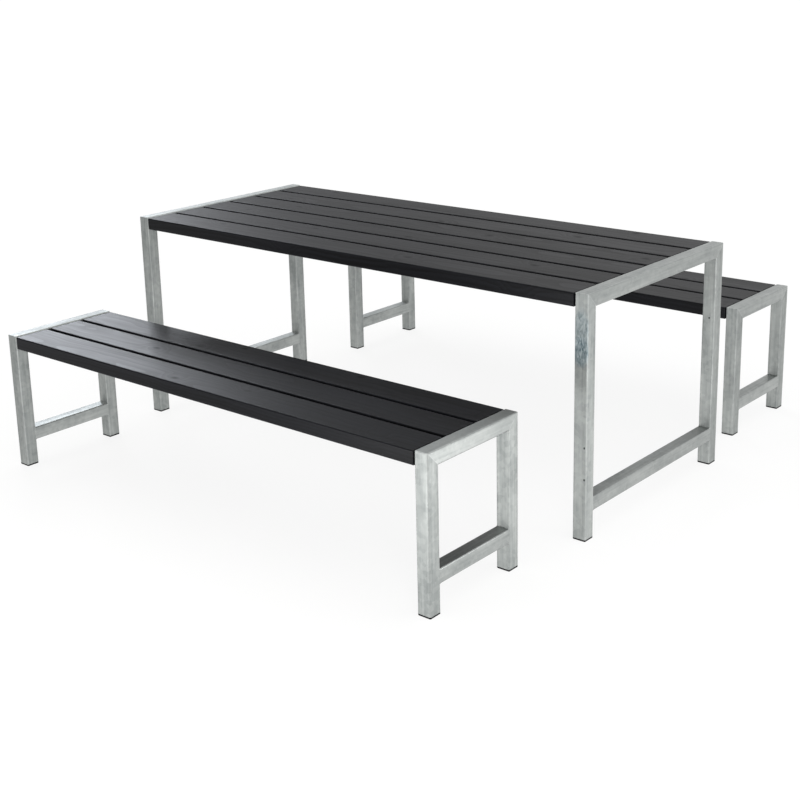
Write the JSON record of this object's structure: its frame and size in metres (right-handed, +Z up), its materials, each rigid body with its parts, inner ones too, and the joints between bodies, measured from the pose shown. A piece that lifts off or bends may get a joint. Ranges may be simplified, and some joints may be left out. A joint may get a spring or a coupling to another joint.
{
  "type": "garden table and bench set",
  "caption": "Garden table with matching benches: black-stained planks on open end frames of galvanised square steel tube; the benches slide in under the table top.",
  "frame": {"origin": "on the ground below the middle of the table", "axes": "+X to the right along the planks, +Y to the back from one bench to the other, +Z up"},
  "size_m": [1.86, 1.998, 0.72],
  "materials": {
    "galvanised_steel": "hot-dip galvanised, dull grey with soft mottling",
    "black_stained_wood": "planed softwood with an opaque black stain, satin",
    "black_plastic": "moulded black polyethylene",
    "zinc_plated_steel": "zinc-plated steel"
  },
  "bodies": {
    "table": {"table_foot_caps": "black_plastic", "table_left_back_leg": "galvanised_steel", "table_left_front_leg": "galvanised_steel", "table_left_plank_bearer": "galvanised_steel", "table_left_stretcher": "galvanised_steel", "table_left_top_rail": "galvanised_steel", "table_middle_tie_bar": "galvanised_steel", "table_plank_1": "black_stained_wood", "table_plank_2": "black_stained_wood", "table_plank_3": "black_stained_wood", "table_plank_4": "black_stained_wood", "table_plank_5": "black_stained_wood", "table_plank_6": "black_stained_wood", "table_plank_screws": "zinc_plated_steel", "table_right_back_leg": "galvanised_steel", "table_right_front_leg": "galvanised_steel", "table_right_plank_bearer": "galvanised_steel", "table_right_stretcher": "galvanised_steel", "table_right_top_rail": "galvanised_steel"},
    "front_bench": {"front_bench_foot_caps": "black_plastic", "front_bench_left_back_leg": "galvanised_steel", "front_bench_left_front_leg": "galvanised_steel", "front_bench_left_plank_bearer": "galvanised_steel", "front_bench_left_stretcher": "galvanised_steel", "front_bench_left_top_rail": "galvanised_steel", "front_bench_middle_tie_bar": "galvanised_steel", "front_bench_plank_1": "black_stained_wood", "front_bench_plank_2": "black_stained_wood", "front_bench_plank_3": "black_stained_wood", "front_bench_plank_screws": "zinc_plated_steel", "front_bench_right_back_leg": "galvanised_steel", "front_bench_right_front_leg": "galvanised_steel", "front_bench_right_plank_bearer": "galvanised_steel", "front_bench_right_stretcher": "galvanised_steel", "front_bench_right_top_rail": "galvanised_steel"},
    "rear_bench": {"rear_bench_foot_caps": "black_plastic", "rear_bench_left_back_leg": "galvanised_steel", "rear_bench_left_front_leg": "galvanised_steel", "rear_bench_left_plank_bearer": "galvanised_steel", "rear_bench_left_stretcher": "galvanised_steel", "rear_bench_left_top_rail": "galvanised_steel", "rear_bench_middle_tie_bar": "galvanised_steel", "rear_bench_plank_1": "black_stained_wood", "rear_bench_plank_2": "black_stained_wood", "rear_bench_plank_3": "black_stained_wood", "rear_bench_plank_screws": "zinc_plated_steel", "rear_bench_right_back_leg": "galvanised_steel", "rear_bench_right_front_leg": "galvanised_steel", "rear_bench_right_plank_bearer": "galvanised_steel", "rear_bench_right_stretcher": "galvanised_steel", "rear_bench_right_top_rail": "galvanised_steel"}
  },
  "joints": [
    {"name": "front_bench_slide", "type": "slide", "parent": "table", "child": "front_bench", "axis": [0, 1, 0], "range_m": [-0.25, 0.615]},
    {"name": "rear_bench_slide", "type": "slide", "parent": "table", "child": "rear_bench", "axis": [0, -1, 0], "range_m": [-0.25, 0.615]}
  ]
}
